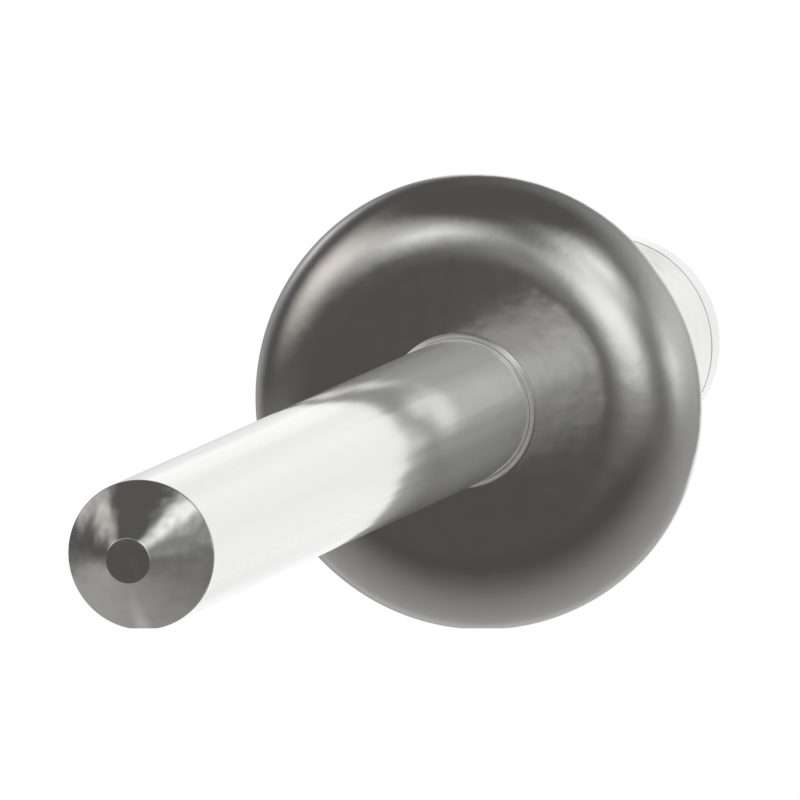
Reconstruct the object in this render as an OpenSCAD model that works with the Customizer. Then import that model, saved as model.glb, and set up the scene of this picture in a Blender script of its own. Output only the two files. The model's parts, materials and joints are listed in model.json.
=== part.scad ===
// Blind rivet with its pulling mandrel, unset, lying on its side as it comes to rest.
// Each piece is a revolve. Its half section is drawn with the radius along X and the rivet's
// axis along Y, where Y = 0 is the face of the rivet's head and +Y runs to the mandrel's tip.

/* [Rivet body] */
// Outer diameter of the sleeve
sleeve_d = 4.8; // [4.2:0.1:6.4]
// Length of the sleeve below the head
sleeve_len = 11.5; // [8:0.5:20]
// Outer diameter of the head
head_d = 10.05; // [9:0.05:14]
// Radius of the rounded rim of the head
rim_r = 1.8; // [1:0.05:1.9]
// Height of the straight edge left under the rounded rim
rim_land = 0.05; // [0.02:0.01:0.6]
// Fillet between the sleeve and the underside of the head
seat_fillet_r = 0.2; // [0.05:0.05:0.6]
// Width and height of the lip coined round the mandrel on the head's face
lip_w = 0.1; // [0.05:0.01:0.3]
// Chamfer round the sleeve's end
sleeve_chamfer = 0.07; // [0.02:0.01:0.15]

/* [Bore] */
// Radial clearance between the mandrel and the sleeve's bore
bore_clearance = 0.05; // [0.02:0.01:0.15]
// Clearance where the head is coined into the mandrel's groove
grip_clearance = 0.01; // [0.01:0.01:0.03]
// Length of that groove at its bottom
grip_len = 0.6; // [0.3:0.05:0.7]

/* [Mandrel] */
// Diameter of the shank
mandrel_d = 3.2; // [2.6:0.05:3.4]
// Length of the mandrel in front of the head's face, tip included
mandrel_reach = 28.6; // [22:0.1:40]
// Diameter of the small flat on the tip
tip_flat_d = 0.96; // [0.4:0.02:1.6]
// Angle between the tip's cone and the axis
tip_angle = 45; // [20:1:60]
// Depth of the groove that keeps the mandrel in the head
grip_depth = 0.2; // [0.16:0.01:0.3]
// Diameter of the break neck
neck_d = 2.3; // [1.6:0.1:2.4]
// Width of the neck at its bottom
neck_w = 0.4; // [0.2:0.1:0.8]
// Distance from the shoulder of the mandrel's head to the middle of the neck
neck_from_head = 2.4; // [1.6:0.1:4]

/* [Mandrel head] */
// Diameter of the mandrel's head
button_d = 4.8; // [4.2:0.05:6]
// Height of the straight side of the mandrel's head
button_side = 0.65; // [0.2:0.05:1.5]
// Radius that turns the side into the dome
button_corner_r = 0.8; // [0.4:0.05:1.2]
// Radius of the dome on the blind end
dome_r = 3.2; // [2.6:0.1:6]
// Chamfer round the shoulder of the mandrel's head
button_chamfer = 0.05; // [0.02:0.01:0.15]
// Clearance between the shoulder and the sleeve's end
seat_clearance = 0.01; // [0.01:0.01:0.1]

/* [Rest] */
// Depth of the small flats on the head's rim and the tip's edge, where the rivet lies
rest_flat = 0.03; // [0.006:0.002:0.03]

/* [Hidden] */

$fn = 96;
past = 0.5;

sleeve_r = sleeve_d / 2;
head_r = head_d / 2;
head_h = rim_r + rim_land;
sleeve_end = head_h + sleeve_len;
fillet_at = sleeve_r + seat_fillet_r;
mandrel_r = mandrel_d / 2;
bore_r = mandrel_r + bore_clearance;
lip_r = mandrel_r + grip_clearance;

tip_flat_r = tip_flat_d / 2;
tip_len = (mandrel_r - tip_flat_r) / tan(tip_angle);
shank_reach = mandrel_reach - tip_len;
neck_r = neck_d / 2;
grip_r = mandrel_r - grip_depth;

// The groove starts level with the top of the lip, so the shank is whole in front of the head
grip_at = grip_depth + grip_len / 2 - lip_w;

// The mandrel's head: its corner and its dome are arcs, tangent where their centres line up
shoulder = sleeve_end + seat_clearance;
button_r = button_d / 2;
corner_at = shoulder + button_side;
corner_in = button_r - button_corner_r;
dome_turn = asin(corner_in / (dome_r - button_corner_r));
dome_centre = corner_at - (dome_r - button_corner_r) * cos(dome_turn);
neck_at = shoulder - neck_from_head;

// The rivet lies on the rounded rim of its head and on the edge where the mandrel's tip begins.
// The line that touches both sets the tilt, and the floor lies above it by the depth of the flats.
run = shank_reach + rim_r;
rise = head_r - rim_r - mandrel_r;
tilt = atan2(rise, run) + asin(rim_r / norm([run, rise]));
face_z = (head_r - rim_r) * cos(tilt) + rim_r - rim_r * sin(tilt) - rest_flat;

// Both ends of the outline along Y, to put the middle of the rivet over the origin
front_y = mandrel_reach * cos(tilt) + tip_flat_r * sin(tilt);
back_y = dome_centre * cos(tilt) + dome_r;
face_y = (front_y - back_y) / 2;

// Turns a half section about the rivet's axis and lays the piece on the floor, tip towards -Y.
// What would reach below the floor is cut off, which leaves the small flats that it rests on.
module lie_down() {
    difference() {
        translate([0, face_y, face_z])
            rotate([90 + tilt, 0, 0])
                rotate_extrude()
                    children();
        translate([-head_d, -mandrel_reach, -past])
            cube([2 * head_d, 2 * mandrel_reach, past]);
    }
}

// Outline of the body with square corners: lip, head, a collar for the fillet, sleeve and chamfer
module body_blank_section() {
    polygon([
        [0, lip_w],
        [lip_r, lip_w],
        [lip_r + lip_w, 0],
        [head_r, 0],
        [head_r, -head_h],
        [fillet_at, -head_h],
        [fillet_at, -head_h - seat_fillet_r],
        [sleeve_r, -head_h - seat_fillet_r],
        [sleeve_r, -sleeve_end + sleeve_chamfer],
        [sleeve_r - sleeve_chamfer, -sleeve_end],
        [0, -sleeve_end]
    ]);
}

// What the rounded rim takes off the corner of the head
module rim_waste_section() {
    translate([head_r - rim_r, -rim_r])
        difference() {
            square(rim_r + past);
            circle(rim_r);
        }
}

// What the concave fillet takes off the collar under the head
module seat_fillet_waste_section() {
    translate([fillet_at, -head_h - seat_fillet_r])
        circle(seat_fillet_r);
}

// Bore: a ridge that fills the mandrel's groove up to the top of the lip, then free of the mandrel
module bore_section() {
    ridge_r = grip_r + grip_clearance;
    ridge_half = grip_len / 2 - grip_clearance;
    ridge_top = -grip_at + ridge_half;
    polygon([
        [0, past],
        [ridge_r + past - ridge_top, past],
        [ridge_r, ridge_top],
        [ridge_r, -grip_at - ridge_half],
        [bore_r, -grip_at - ridge_half - bore_r + ridge_r],
        [bore_r, -sleeve_end - past],
        [0, -sleeve_end - past]
    ]);
}

// Sleeve and head, cold formed as one piece
module rivet_body() {
    color([0.74, 0.73, 0.71])
        lie_down()
            difference() {
                body_blank_section();
                rim_waste_section();
                seat_fillet_waste_section();
                bore_section();
            }
}

// Outline of the mandrel with square corners: tip, shank, shoulder and a plain blank for its head
module mandrel_blank_section() {
    polygon([
        [0, mandrel_reach],
        [tip_flat_r, mandrel_reach],
        [mandrel_r, shank_reach],
        [mandrel_r, -shoulder],
        [button_r - button_chamfer, -shoulder],
        [button_r, -shoulder - button_chamfer],
        [button_r, -dome_centre - dome_r - past],
        [0, -dome_centre - dome_r - past]
    ]);
}

// Groove with 45 degree flanks, cut down to a radius around one place behind the head's face
module groove_section(bottom_r, width, at) {
    depth = mandrel_r + past - bottom_r;
    translate([bottom_r, -at])
        polygon([
            [0, -width / 2],
            [depth, -width / 2 - depth],
            [depth, width / 2 + depth],
            [0, width / 2]
        ]);
}

// What an arc of radius r takes off the mandrel's head, between two angles from the rivet's axis
module arc_waste_section(r, from, to) {
    out = 3 * r;
    difference() {
        polygon([[0, 0], out * [sin(from), -cos(from)], out * [sin(to), -cos(to)]]);
        circle(r);
    }
}

// Pin that is pulled to set the rivet, headed in one piece with its shank
module mandrel() {
    color([0.80, 0.80, 0.79])
        lie_down()
            difference() {
                mandrel_blank_section();
                groove_section(grip_r, grip_len, grip_at);
                groove_section(neck_r, neck_w, neck_at);
                translate([corner_in, -corner_at])
                    arc_waste_section(button_corner_r, dome_turn, 90);
                translate([0, -dome_centre])
                    arc_waste_section(dome_r, 0, dome_turn);
            }
}

rivet_body();
mandrel();
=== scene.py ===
import json
import math

import bpy
import numpy as np
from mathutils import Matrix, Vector


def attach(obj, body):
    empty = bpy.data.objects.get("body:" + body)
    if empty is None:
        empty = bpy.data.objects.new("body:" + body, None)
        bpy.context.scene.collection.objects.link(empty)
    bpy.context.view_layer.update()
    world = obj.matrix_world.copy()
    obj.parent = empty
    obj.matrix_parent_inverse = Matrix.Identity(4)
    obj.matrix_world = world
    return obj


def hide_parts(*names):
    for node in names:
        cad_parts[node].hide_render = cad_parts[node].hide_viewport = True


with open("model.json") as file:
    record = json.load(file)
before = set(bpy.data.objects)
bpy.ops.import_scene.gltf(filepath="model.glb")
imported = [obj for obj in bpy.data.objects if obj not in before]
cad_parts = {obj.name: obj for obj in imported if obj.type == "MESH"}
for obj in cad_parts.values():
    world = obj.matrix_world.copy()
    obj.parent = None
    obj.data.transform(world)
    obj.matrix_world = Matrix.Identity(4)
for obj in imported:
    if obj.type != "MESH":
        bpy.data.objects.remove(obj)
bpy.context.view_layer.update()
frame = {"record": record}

MM = 0.001


# The rivet's axis and the place of its head's face, read from the frame's mounts
# The rivet lies on its rim and its mandrel's tip, so its axis slopes down to the tip.
# Both pieces are turned about this one axis.
mounts = {m["name"]: m for m in frame["record"]["mounts"]}
TO_TIP = Vector(mounts["mandrel_shank"]["axis"]).normalized()
ON_AXIS = Vector(mounts["mandrel_shank"]["pos_m"])
RIM_R = 1.8 * MM
RIM_LAND = 0.05 * MM
HEAD_H = RIM_R + RIM_LAND
UNDER_HEAD = (Vector(mounts["under_head"]["pos_m"]) - ON_AXIS).dot(TO_TIP)
FACE_CENTRE = ON_AXIS + (UNDER_HEAD + HEAD_H) * TO_TIP


# The set: camera
# A long lens a long way off, level with the floor's surface, so that the rivet stands against
# the white backdrop with almost no perspective, as in the photograph.
HALF_VIEW = math.radians(0.62)
SENSOR = 36.0
AIM = Vector((0.33, 0.02, 4.96)) * MM
DISTANCE = 802.65 * MM
CAMERA_COMPASS = math.radians(14.397)
CAMERA_RISE = -math.asin(AIM.z / DISTANCE)
NEAR_CLIP = 0.01
FAR_CLIP = 10.0

towards_camera = Vector((
    math.sin(CAMERA_COMPASS) * math.cos(CAMERA_RISE),
    -math.cos(CAMERA_COMPASS) * math.cos(CAMERA_RISE),
    math.sin(CAMERA_RISE),
))
camera_data = bpy.data.cameras.new("camera")
camera_data.sensor_width = SENSOR
camera_data.lens = SENSOR / 2 / math.tan(HALF_VIEW)
camera_data.clip_start = NEAR_CLIP
camera_data.clip_end = FAR_CLIP
camera = bpy.data.objects.new("camera", camera_data)
camera.location = AIM + DISTANCE * towards_camera
camera.rotation_mode = "QUATERNION"
camera.rotation_quaternion = (-towards_camera).to_track_quat("-Z", "Y")
bpy.context.collection.objects.link(camera)
bpy.context.scene.camera = camera
bpy.context.scene.view_settings.view_transform = "Standard"


# The set: floor
# A plain pale round table top. Polished metal doesn't show it, because the studio's own light
# field already holds the light that comes up from below.
FLOOR_R = 0.3
FLOOR_SIDES = 128
FLOOR_COLOUR = (0.86, 0.86, 0.85)
FLOOR_ROUGHNESS = 0.9

floor_turn = np.linspace(0.0, 2 * np.pi, FLOOR_SIDES, endpoint=False)
floor_points = np.stack([FLOOR_R * np.cos(floor_turn), FLOOR_R * np.sin(floor_turn), 0 * floor_turn], 1)
floor_mesh = bpy.data.meshes.new("floor")
floor_mesh.from_pydata(floor_points.tolist(), [], [list(range(FLOOR_SIDES))])
floor = bpy.data.objects.new("floor", floor_mesh)
bpy.context.collection.objects.link(floor)
floor.visible_glossy = False

floor_paint = bpy.data.materials.new("floor_paint")
floor_paint.use_nodes = True
floor_shader = floor_paint.node_tree.nodes["Principled BSDF"]
floor_shader.inputs["Base Color"].default_value = (*FLOOR_COLOUR, 1)
floor_shader.inputs["Roughness"].default_value = FLOOR_ROUGHNESS
floor_mesh.materials.append(floor_paint)


# The set: light
# A studio with a white backdrop behind the rivet, soft boxes around it, and a grey floor that
# gets lighter towards the backdrop. One overhead lamp lights the table.
# Compass angles run from the camera's direction towards its right, elevations from the horizon.
BACKDROP = (1.0, 1.0, 1.0)
DARK_ROOM = (0.096, 0.094, 0.089)
# The ground's grey begins 4 degrees above the horizon and is whole 24 degrees below it
GROUND_EDGE = (4.0, -24.0)
BOX_INPUTS = ("Box Compass", "Box Elevation", "Half Width", "Half Height", "Edge")
SOFT_BOXES = [
    # name, compass, elevation, half width, half height, soft edge, colour
    ("dark curtain", 71, 27, 45, 23, 27, (0.13, 0.13, 0.12)),
    ("right wall", 119, 18, 29, 22, 28, (0.62, 0.63, 0.63)),
    ("right box", 84, 10, 12, 8, 23, (1.24, 1.25, 1.26)),
    ("left window", -85, 29, 19, 14, 16, (0.92, 0.88, 0.83)),
    ("upper left box", -40, 31, 14, 9, 19, (1.24, 1.25, 1.24)),
    ("key haze", 20, 8, 26, 18, 23, (0.49, 0.49, 0.49)),
    ("key box", 16, 14, 18, 14, 13, (1.08, 1.09, 1.09)),
    ("upper right box", 18, 34, 6, 11, 16, (1.19, 1.19, 1.19)),
    ("high right box", 40, 42, 11, 11, 16, (1.24, 1.25, 1.25)),
    ("back left haze", -160, 6, 22, 20, 16, (0.33, 0.33, 0.33)),
    ("back left box", -151, 23, 7, 3, 10, (1.22, 1.22, 1.22)),
    ("camera side", -20, 7, 7, 5, 18, (0.34, 0.34, 0.34)),
    ("backdrop", 163, 6.5, 19, 18.5, 4, (1.07, 1.07, 1.07)),
]
GROUND = [
    # place from the camera's side (0) to the backdrop's (1), colour
    (0.13, (0.087, 0.085, 0.081)),
    (0.27, (0.157, 0.154, 0.147)),
    (0.45, (0.246, 0.241, 0.231)),
    (0.69, (0.318, 0.312, 0.301)),
    (0.84, (0.365, 0.360, 0.350)),
    (0.95, (0.520, 0.516, 0.508)),
]
LAMP_AT = Vector((-0.12, -0.05, 0.45))
LAMP_SIZE = 0.25
LAMP_WATTS = 1.4


def feed(tree, socket, value):
    """Another node's output is linked to the socket. A plain colour or number becomes its value."""
    if isinstance(value, bpy.types.NodeSocket):
        tree.links.new(value, socket)
    elif isinstance(value, tuple):
        socket.default_value = (*value, 1)
    else:
        socket.default_value = value


def math_node(tree, operation, *values):
    """A Math node of plain numbers and other nodes' outputs. Gives its own output."""
    node = tree.nodes.new("ShaderNodeMath")
    node.operation = operation
    for socket, value in zip(node.inputs, values):
        feed(tree, socket, value)
    return node.outputs[0]


def smooth_step(tree, value, start, end, at_start, at_end):
    """A smooth step of a value, from one level to another between a start and an end."""
    node = tree.nodes.new("ShaderNodeMapRange")
    node.interpolation_type = "SMOOTHSTEP"
    for socket, given in zip(node.inputs, (value, start, end, at_start, at_end)):
        feed(tree, socket, given)
    return node.outputs["Result"]


def colour_mix(tree, mask, below, above):
    """One colour laid over another through a mask: below plus mask times the difference."""
    node = tree.nodes.new("ShaderNodeMix")
    node.data_type = "RGBA"
    for key, given in (("Factor", mask), ("A", below), ("B", above)):
        feed(tree, node.inputs[key], given)
    return node.outputs["Result"]


def soft_box_group():
    """Mask of a rectangle in compass and elevation: 1 inside, falling smoothly to 0 past its edges."""
    group = bpy.data.node_groups.new("soft box", "ShaderNodeTree")
    for name in ("Compass", "Elevation", *BOX_INPUTS):
        group.interface.new_socket(name=name, in_out="INPUT", socket_type="NodeSocketFloat")
    group.interface.new_socket(name="Mask", in_out="OUTPUT", socket_type="NodeSocketFloat")
    given = group.nodes.new("NodeGroupInput").outputs

    def side_mask(offset, half):
        start = math_node(group, "SUBTRACT", half, given["Edge"])
        end = math_node(group, "ADD", half, given["Edge"])
        return smooth_step(group, math_node(group, "ABSOLUTE", offset), start, end, 1.0, 0.0)

    turn = math_node(group, "SUBTRACT", given["Compass"], given["Box Compass"])
    short_turn = math_node(group, "WRAP", turn, 180.0, -180.0)
    narrowing = math_node(group, "COSINE", math_node(group, "RADIANS", given["Elevation"]))
    across = side_mask(math_node(group, "MULTIPLY", short_turn, narrowing), given["Half Width"])
    climb = math_node(group, "SUBTRACT", given["Elevation"], given["Box Elevation"])
    mask = math_node(group, "MULTIPLY", across, side_mask(climb, given["Half Height"]))
    group.links.new(mask, group.nodes.new("NodeGroupOutput").inputs["Mask"])
    return group


world = bpy.data.worlds.new("studio")
world.use_nodes = True
bpy.context.scene.world = world
sky_tree = world.node_tree
sky_tree.nodes.clear()

direction = sky_tree.nodes.new("ShaderNodeTexCoord").outputs["Generated"]
facing = sky_tree.nodes.new("ShaderNodeVectorMath")
facing.operation = "DOT_PRODUCT"
sky_tree.links.new(direction, facing.inputs[0])
facing.inputs[1].default_value = towards_camera
split = sky_tree.nodes.new("ShaderNodeSeparateXYZ")
sky_tree.links.new(direction, split.inputs[0])
away = math_node(sky_tree, "MULTIPLY", split.outputs["Y"], -1.0)
bearing = math_node(sky_tree, "DEGREES", math_node(sky_tree, "ARCTAN2", split.outputs["X"], away))
compass = math_node(sky_tree, "SUBTRACT", bearing, math.degrees(CAMERA_COMPASS))
elevation = math_node(sky_tree, "DEGREES", math_node(sky_tree, "ARCSINE", split.outputs["Z"]))

ground = sky_tree.nodes.new("ShaderNodeValToRGB")
ramp = ground.color_ramp
while len(ramp.elements) < len(GROUND):
    ramp.elements.new(0.5)
for element, (place, colour) in zip(ramp.elements, GROUND):
    element.position = place
    element.color = (*colour, 1)
from_front = math_node(sky_tree, "MULTIPLY_ADD", facing.outputs["Value"], -0.5, 0.5)
sky_tree.links.new(from_front, ground.inputs["Fac"])
below_horizon = smooth_step(sky_tree, elevation, *GROUND_EDGE, 0.0, 1.0)
light = colour_mix(sky_tree, below_horizon, DARK_ROOM, ground.outputs["Color"])

box_group = soft_box_group()
for name, *measures, colour in SOFT_BOXES:
    box = sky_tree.nodes.new("ShaderNodeGroup")
    box.node_tree = box_group
    box.label = name
    sky_tree.links.new(compass, box.inputs["Compass"])
    sky_tree.links.new(elevation, box.inputs["Elevation"])
    for key, value in zip(BOX_INPUTS, measures):
        box.inputs[key].default_value = value
    light = colour_mix(sky_tree, box.outputs["Mask"], light, colour)

light_path = sky_tree.nodes.new("ShaderNodeLightPath")
light = colour_mix(sky_tree, light_path.outputs["Is Camera Ray"], light, BACKDROP)
sky = sky_tree.nodes.new("ShaderNodeBackground")
sky_tree.links.new(light, sky.inputs["Color"])
sky_tree.links.new(sky.outputs[0], sky_tree.nodes.new("ShaderNodeOutputWorld").inputs["Surface"])

lamp_data = bpy.data.lights.new("overhead lamp", "AREA")
lamp_data.shape = "DISK"
lamp_data.size = LAMP_SIZE
lamp_data.energy = LAMP_WATTS
lamp = bpy.data.objects.new("overhead lamp", lamp_data)
lamp.location = LAMP_AT
lamp.rotation_mode = "QUATERNION"
lamp.rotation_quaternion = (-LAMP_AT.normalized()).to_track_quat("-Z", "Y")
lamp.visible_glossy = False
bpy.context.collection.objects.link(lamp)


# Rivet body: sleeve and domed head
# One piece of zinc plated steel, cold formed. The head's face is flat and rolls over into the
# rim in a quarter round, and a small lip of coined metal closes the head on the mandrel.
HEAD_R = 5.025 * MM
SLEEVE_R = 2.4 * MM
SLEEVE_LEN = 11.5 * MM
SLEEVE_EDGE_R = 0.04 * MM
HEAD_EDGE_R = 0.04 * MM
SEAT_FILLET_R = 0.2 * MM
MANDREL_R = 1.6 * MM
LIP_CLEARANCE = 0.004 * MM
LIP_R = MANDREL_R + LIP_CLEARANCE
LIP_W = 0.1 * MM
LIP_EDGE_R = 0.02 * MM
BORE_CLEARANCE = 0.05 * MM
BORE_R = MANDREL_R + BORE_CLEARANCE
BORE_EDGE_R = 0.05 * MM
GRIP_DEPTH = 0.2 * MM
GRIP_LEN = 0.6 * MM
GRIP_CLEARANCE = 0.01 * MM
GRIP_R = MANDREL_R - GRIP_DEPTH + GRIP_CLEARANCE
GRIP_AT = GRIP_DEPTH + GRIP_LEN / 2 - LIP_W
GRIP_HALF = GRIP_LEN / 2 - GRIP_CLEARANCE
SLEEVE_END = HEAD_H + SLEEVE_LEN
TURN_STEPS = 256
ARC_STEP = 0.08 * MM
ARC_POINTS_LEAST = 4


def arc_run(centre, radius, start, end):
    """Points along an arc, as (along the axis, radius), from one angle to another, both from the
    axis's direction towards the tip."""
    count = max(ARC_POINTS_LEAST, math.ceil(abs(end - start) * radius / ARC_STEP) + 1)
    angle = np.linspace(start, end, count)
    return np.stack([centre[0] + radius * np.cos(angle), centre[1] + radius * np.sin(angle)], 1)


def rounded_run(corners):
    """An outline given by its corners, as (along, radius, rounding). Each corner turns into an arc
    of its own rounding, tangent to both sides. A rounding of 0 keeps the point."""
    runs = []
    for i, (along, out, rounding) in enumerate(corners):
        here = np.array([along, out])
        if rounding == 0:
            runs.append(here[None])
            continue
        before = np.array(corners[i - 1][:2]) - here
        after = np.array(corners[(i + 1) % len(corners)][:2]) - here
        before /= np.linalg.norm(before)
        after /= np.linalg.norm(after)
        half = math.acos(np.clip(before @ after, -1, 1)) / 2
        centre = here + (before + after) / np.linalg.norm(before + after) * rounding / math.sin(half)
        first = here + before * rounding / math.tan(half) - centre
        last = here + after * rounding / math.tan(half) - centre
        start = math.atan2(first[1], first[0])
        sweep = (math.atan2(last[1], last[0]) - start + math.pi) % (2 * math.pi) - math.pi
        runs.append(arc_run(centre, rounding, start, start + sweep))
    return np.concatenate(runs)


def support_points(outline, closed):
    """The outline with a point added close to both ends of every long straight side, so that
    smooth shading stays true on the flat and only turns at the corners."""
    near = 0.03 * MM
    ends = np.roll(outline, -1, axis=0) if closed else outline[1:]
    points = []
    for start, end in zip(outline, ends):
        points.append(start)
        length = np.linalg.norm(end - start)
        if length > 4 * near:
            points += [start + (end - start) * near / length, end + (start - end) * near / length]
    if not closed:
        points.append(outline[-1])
    return np.array(points)


def turned_piece(name, outline, closed):
    """A body of revolution. Each point of the outline is carried round the rivet's axis: the axis
    point plus its radius times the turning unit vector. What would sink into the floor is raised
    to it, which makes the small flats that the rivet lies on. An outline that isn't closed starts
    and ends on the axis, and its two poles are single points with a fan of triangles."""
    side = TO_TIP.cross(Vector((1, 0, 0))).normalized()
    other = TO_TIP.cross(side)
    turn = np.linspace(0, 2 * np.pi, TURN_STEPS, endpoint=False)
    spoke = np.cos(turn)[:, None] * np.array(side) + np.sin(turn)[:, None] * np.array(other)
    ring_outline = outline if closed else outline[1:-1]
    rings = len(ring_outline)
    axis_points = np.array(FACE_CENTRE) + ring_outline[:, :1] * np.array(TO_TIP)
    points = (axis_points[:, None] + ring_outline[:, 1, None, None] * spoke[None]).reshape(-1, 3)
    points[:, 2] = np.maximum(points[:, 2], 0)
    i = np.arange(rings if closed else rings - 1)[:, None]
    j = np.arange(TURN_STEPS)[None]
    after_j = (j + 1) % TURN_STEPS
    this_ring, next_ring = i * TURN_STEPS, (i + 1) % rings * TURN_STEPS
    corners = np.stack([this_ring + j, this_ring + after_j, next_ring + after_j, next_ring + j], -1)
    quads = corners.reshape(-1, 4).tolist()
    fans = []
    if not closed:
        poles = np.array(FACE_CENTRE) + outline[[0, -1], :1] * np.array(TO_TIP)
        first, last = len(points), len(points) + 1
        points = np.concatenate([points, poles])
        edge, after = np.arange(TURN_STEPS), (np.arange(TURN_STEPS) + 1) % TURN_STEPS
        base = (rings - 1) * TURN_STEPS
        fans = np.stack([np.full(TURN_STEPS, first), after, edge], 1).tolist()
        fans += np.stack([np.full(TURN_STEPS, last), base + edge, base + after], 1).tolist()
    mesh = bpy.data.meshes.new(name)
    mesh.from_pydata(points.tolist(), [], quads + fans)
    mesh.shade_smooth()
    piece = bpy.data.objects.new(name, mesh)
    bpy.context.collection.objects.link(piece)
    return piece


body_outline = rounded_run([
    (LIP_W, LIP_R, 0),
    (0.0, LIP_R + LIP_W, LIP_EDGE_R),
    (0.0, HEAD_R, RIM_R),
    (-HEAD_H, HEAD_R, HEAD_EDGE_R),
    (-HEAD_H, SLEEVE_R, SEAT_FILLET_R),
    (-SLEEVE_END, SLEEVE_R, SLEEVE_EDGE_R),
    (-SLEEVE_END, BORE_R, BORE_EDGE_R),
    (-GRIP_AT - GRIP_HALF - BORE_R + GRIP_R, BORE_R, BORE_EDGE_R),
    (-GRIP_AT - GRIP_HALF, GRIP_R, BORE_EDGE_R),
    (-GRIP_AT + GRIP_HALF, GRIP_R, BORE_EDGE_R),
    (-GRIP_AT + GRIP_HALF + LIP_R - GRIP_R, LIP_R, 0),
])
body = turned_piece("rivet_body_finished", support_points(body_outline, True), True)


def steel_surface_group():
    """The surface of formed and plated steel. One noise, which can be stretched along the rivet's
    axis, gives fine relief and a small change of roughness. Haze is the share of light that the
    surface scatters instead of mirroring it. It grows from none to full between two places on the
    axis, measured from the head's face towards the tip."""
    noise_detail = 2.0
    noise_roughness = 0.4
    roughness_change = 0.75
    group = bpy.data.node_groups.new("steel surface", "ShaderNodeTree")
    for name in ("Size", "Stretch", "Depth", "Roughness", "Haze", "Mirror At", "Haze At"):
        group.interface.new_socket(name=name, in_out="INPUT", socket_type="NodeSocketFloat")
    group.interface.new_socket(name="Metallic", in_out="OUTPUT", socket_type="NodeSocketFloat")
    group.interface.new_socket(name="Roughness", in_out="OUTPUT", socket_type="NodeSocketFloat")
    group.interface.new_socket(name="Normal", in_out="OUTPUT", socket_type="NodeSocketVector")
    nodes, links = group.nodes, group.links
    given = nodes.new("NodeGroupInput").outputs
    result = nodes.new("NodeGroupOutput").inputs
    on_axis = nodes.new("ShaderNodeMapping")
    on_axis.vector_type = "TEXTURE"
    on_axis.inputs["Location"].default_value = FACE_CENTRE
    on_axis.inputs["Rotation"].default_value = TO_TIP.to_track_quat("Y", "Z").to_euler()
    links.new(nodes.new("ShaderNodeTexCoord").outputs["Object"], on_axis.inputs["Vector"])
    unit = nodes.new("ShaderNodeCombineXYZ")
    links.new(given["Size"], unit.inputs["X"])
    links.new(math_node(group, "MULTIPLY", given["Size"], given["Stretch"]), unit.inputs["Y"])
    links.new(given["Size"], unit.inputs["Z"])
    scaled = nodes.new("ShaderNodeVectorMath")
    scaled.operation = "DIVIDE"
    links.new(on_axis.outputs["Vector"], scaled.inputs[0])
    links.new(unit.outputs["Vector"], scaled.inputs[1])
    pattern = nodes.new("ShaderNodeTexNoise")
    pattern.inputs["Scale"].default_value = 1.0
    pattern.inputs["Detail"].default_value = noise_detail
    pattern.inputs["Roughness"].default_value = noise_roughness
    links.new(scaled.outputs["Vector"], pattern.inputs["Vector"])
    bump = nodes.new("ShaderNodeBump")
    links.new(given["Depth"], bump.inputs["Distance"])
    links.new(pattern.outputs["Fac"], bump.inputs["Height"])
    links.new(bump.outputs["Normal"], result["Normal"])
    mean_share = 1 - roughness_change / 2
    change = math_node(group, "MULTIPLY_ADD", pattern.outputs["Fac"], roughness_change, mean_share)
    links.new(math_node(group, "MULTIPLY", given["Roughness"], change), result["Roughness"])
    place = nodes.new("ShaderNodeSeparateXYZ")
    links.new(on_axis.outputs["Vector"], place.inputs[0])
    mirror_at, haze_at = given["Mirror At"], given["Haze At"]
    haze_here = smooth_step(group, place.outputs["Y"], mirror_at, haze_at, 0.0, given["Haze"])
    links.new(math_node(group, "SUBTRACT", 1.0, haze_here), result["Metallic"])
    return group


def steel(name, colour, **surface):
    """A metal in one colour, with the steel surface's own values for this piece."""
    material = bpy.data.materials.new(name)
    material.use_nodes = True
    tree = material.node_tree
    shader = tree.nodes["Principled BSDF"]
    shader.inputs["Base Color"].default_value = (*colour, 1)
    finish = tree.nodes.new("ShaderNodeGroup")
    finish.node_tree = steel_surface
    for key, value in surface.items():
        finish.inputs[key.replace("_", " ").title()].default_value = value
    for output in finish.outputs:
        tree.links.new(output, shader.inputs[output.name])
    return material


# The head's lip is pressed matt by the tool that coins it. The rest of the body mirrors cleanly.
LIP_HAZE_RUN = 0.04 * MM
steel_surface = steel_surface_group()
body_steel = steel(
    "body_steel", (0.76, 0.755, 0.74), size=0.5 * MM, stretch=1.0, depth=0.007 * MM, roughness=0.15,
    haze=0.5, mirror_at=0.0, haze_at=LIP_HAZE_RUN,
)
body.data.materials.append(body_steel)
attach(body, "root")
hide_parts("rivet_body")


# Mandrel: drawn steel pin, headed in one piece
# Bright drawn wire, cut to a 45 degree point with a small flat, with a groove that the head is
# coined into, a break neck inside the sleeve, and a domed head that bears on the sleeve's end.
MANDREL_REACH = 28.6 * MM
TIP_FLAT_R = 0.48 * MM
TIP_LEN = MANDREL_R - TIP_FLAT_R
SHANK_END = MANDREL_REACH - TIP_LEN
TIP_FLAT_EDGE_R = 0.02 * MM
TIP_EDGE_R = 0.04 * MM
GROOVE_R = MANDREL_R - GRIP_DEPTH
GROOVE_HALF = GRIP_LEN / 2
GROOVE_TOP_R = 0.005 * MM
GROOVE_EDGE_R = 0.03 * MM
NECK_R = 1.15 * MM
NECK_HALF = 0.2 * MM
NECK_EDGE_R = 0.05 * MM
NECK_FROM_HEAD = 2.4 * MM
SEAT_CLEARANCE = 0.01 * MM
SHOULDER = SLEEVE_END + SEAT_CLEARANCE
SHOULDER_ROOT_R = 0.03 * MM
BUTTON_R = 2.4 * MM
BUTTON_EDGE_R = 0.03 * MM
BUTTON_SIDE = 0.65 * MM
BUTTON_CORNER_R = 0.8 * MM
DOME_R = 3.2 * MM
NECK_AT = SHOULDER - NECK_FROM_HEAD
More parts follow.
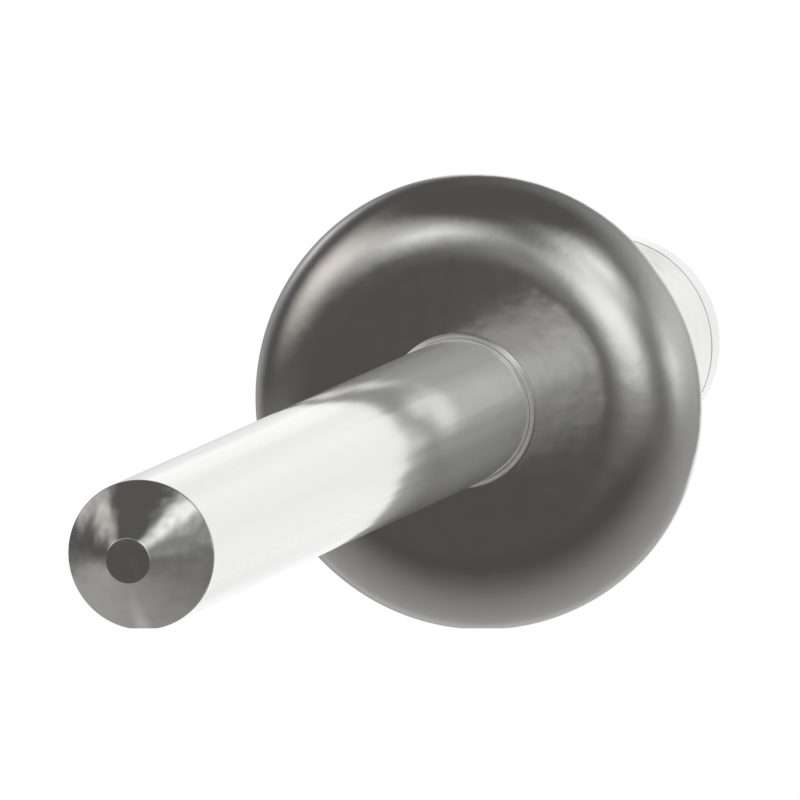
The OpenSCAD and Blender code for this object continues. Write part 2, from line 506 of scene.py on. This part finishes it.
CORNER_IN = BUTTON_R - BUTTON_CORNER_R
CORNER_AT = SHOULDER + BUTTON_SIDE
dome_turn = math.asin(CORNER_IN / (DOME_R - BUTTON_CORNER_R))
DOME_CENTRE = CORNER_AT - (DOME_R - BUTTON_CORNER_R) * math.cos(dome_turn)

# Both flanks of the groove and of the neck lie at 45 degrees, so each is as long as it is deep
groove_flank = MANDREL_R - GROOVE_R
neck_flank = MANDREL_R - NECK_R
shank_run = rounded_run([
    (MANDREL_REACH, 0.0, 0),
    (MANDREL_REACH, TIP_FLAT_R, TIP_FLAT_EDGE_R),
    (SHANK_END, MANDREL_R, TIP_EDGE_R),
    (-GRIP_AT + GROOVE_HALF + groove_flank, MANDREL_R, GROOVE_TOP_R),
    (-GRIP_AT + GROOVE_HALF, GROOVE_R, GROOVE_EDGE_R),
    (-GRIP_AT - GROOVE_HALF, GROOVE_R, GROOVE_EDGE_R),
    (-GRIP_AT - GROOVE_HALF - groove_flank, MANDREL_R, GROOVE_EDGE_R),
    (-NECK_AT + NECK_HALF + neck_flank, MANDREL_R, NECK_EDGE_R),
    (-NECK_AT + NECK_HALF, NECK_R, NECK_EDGE_R),
    (-NECK_AT - NECK_HALF, NECK_R, NECK_EDGE_R),
    (-NECK_AT - NECK_HALF - neck_flank, MANDREL_R, NECK_EDGE_R),
    (-SHOULDER, MANDREL_R, SHOULDER_ROOT_R),
    (-SHOULDER, BUTTON_R, BUTTON_EDGE_R),
    (-CORNER_AT, BUTTON_R, 0),
])
corner_run = arc_run((-CORNER_AT, CORNER_IN), BUTTON_CORNER_R, math.pi / 2, math.pi - dome_turn)
dome_run = arc_run((-DOME_CENTRE, 0.0), DOME_R, math.pi - dome_turn, math.pi)
mandrel_outline = np.concatenate([shank_run, corner_run[1:], dome_run[1:]])
mandrel = turned_piece("mandrel_finished", support_points(mandrel_outline, False), False)

# Drawing and heading leave the pin satin, with faint lines along it. Only the cut tip is bright.
SATIN_EDGE = 0.02 * MM
mandrel_steel = steel(
    "mandrel_steel", (0.88, 0.88, 0.87), size=0.8 * MM, stretch=40.0, depth=0.08 * MM, roughness=0.08,
    haze=0.4, mirror_at=SHANK_END + SATIN_EDGE, haze_at=SHANK_END - SATIN_EDGE,
)
mandrel.data.materials.append(mandrel_steel)
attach(mandrel, "root")
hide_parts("mandrel")
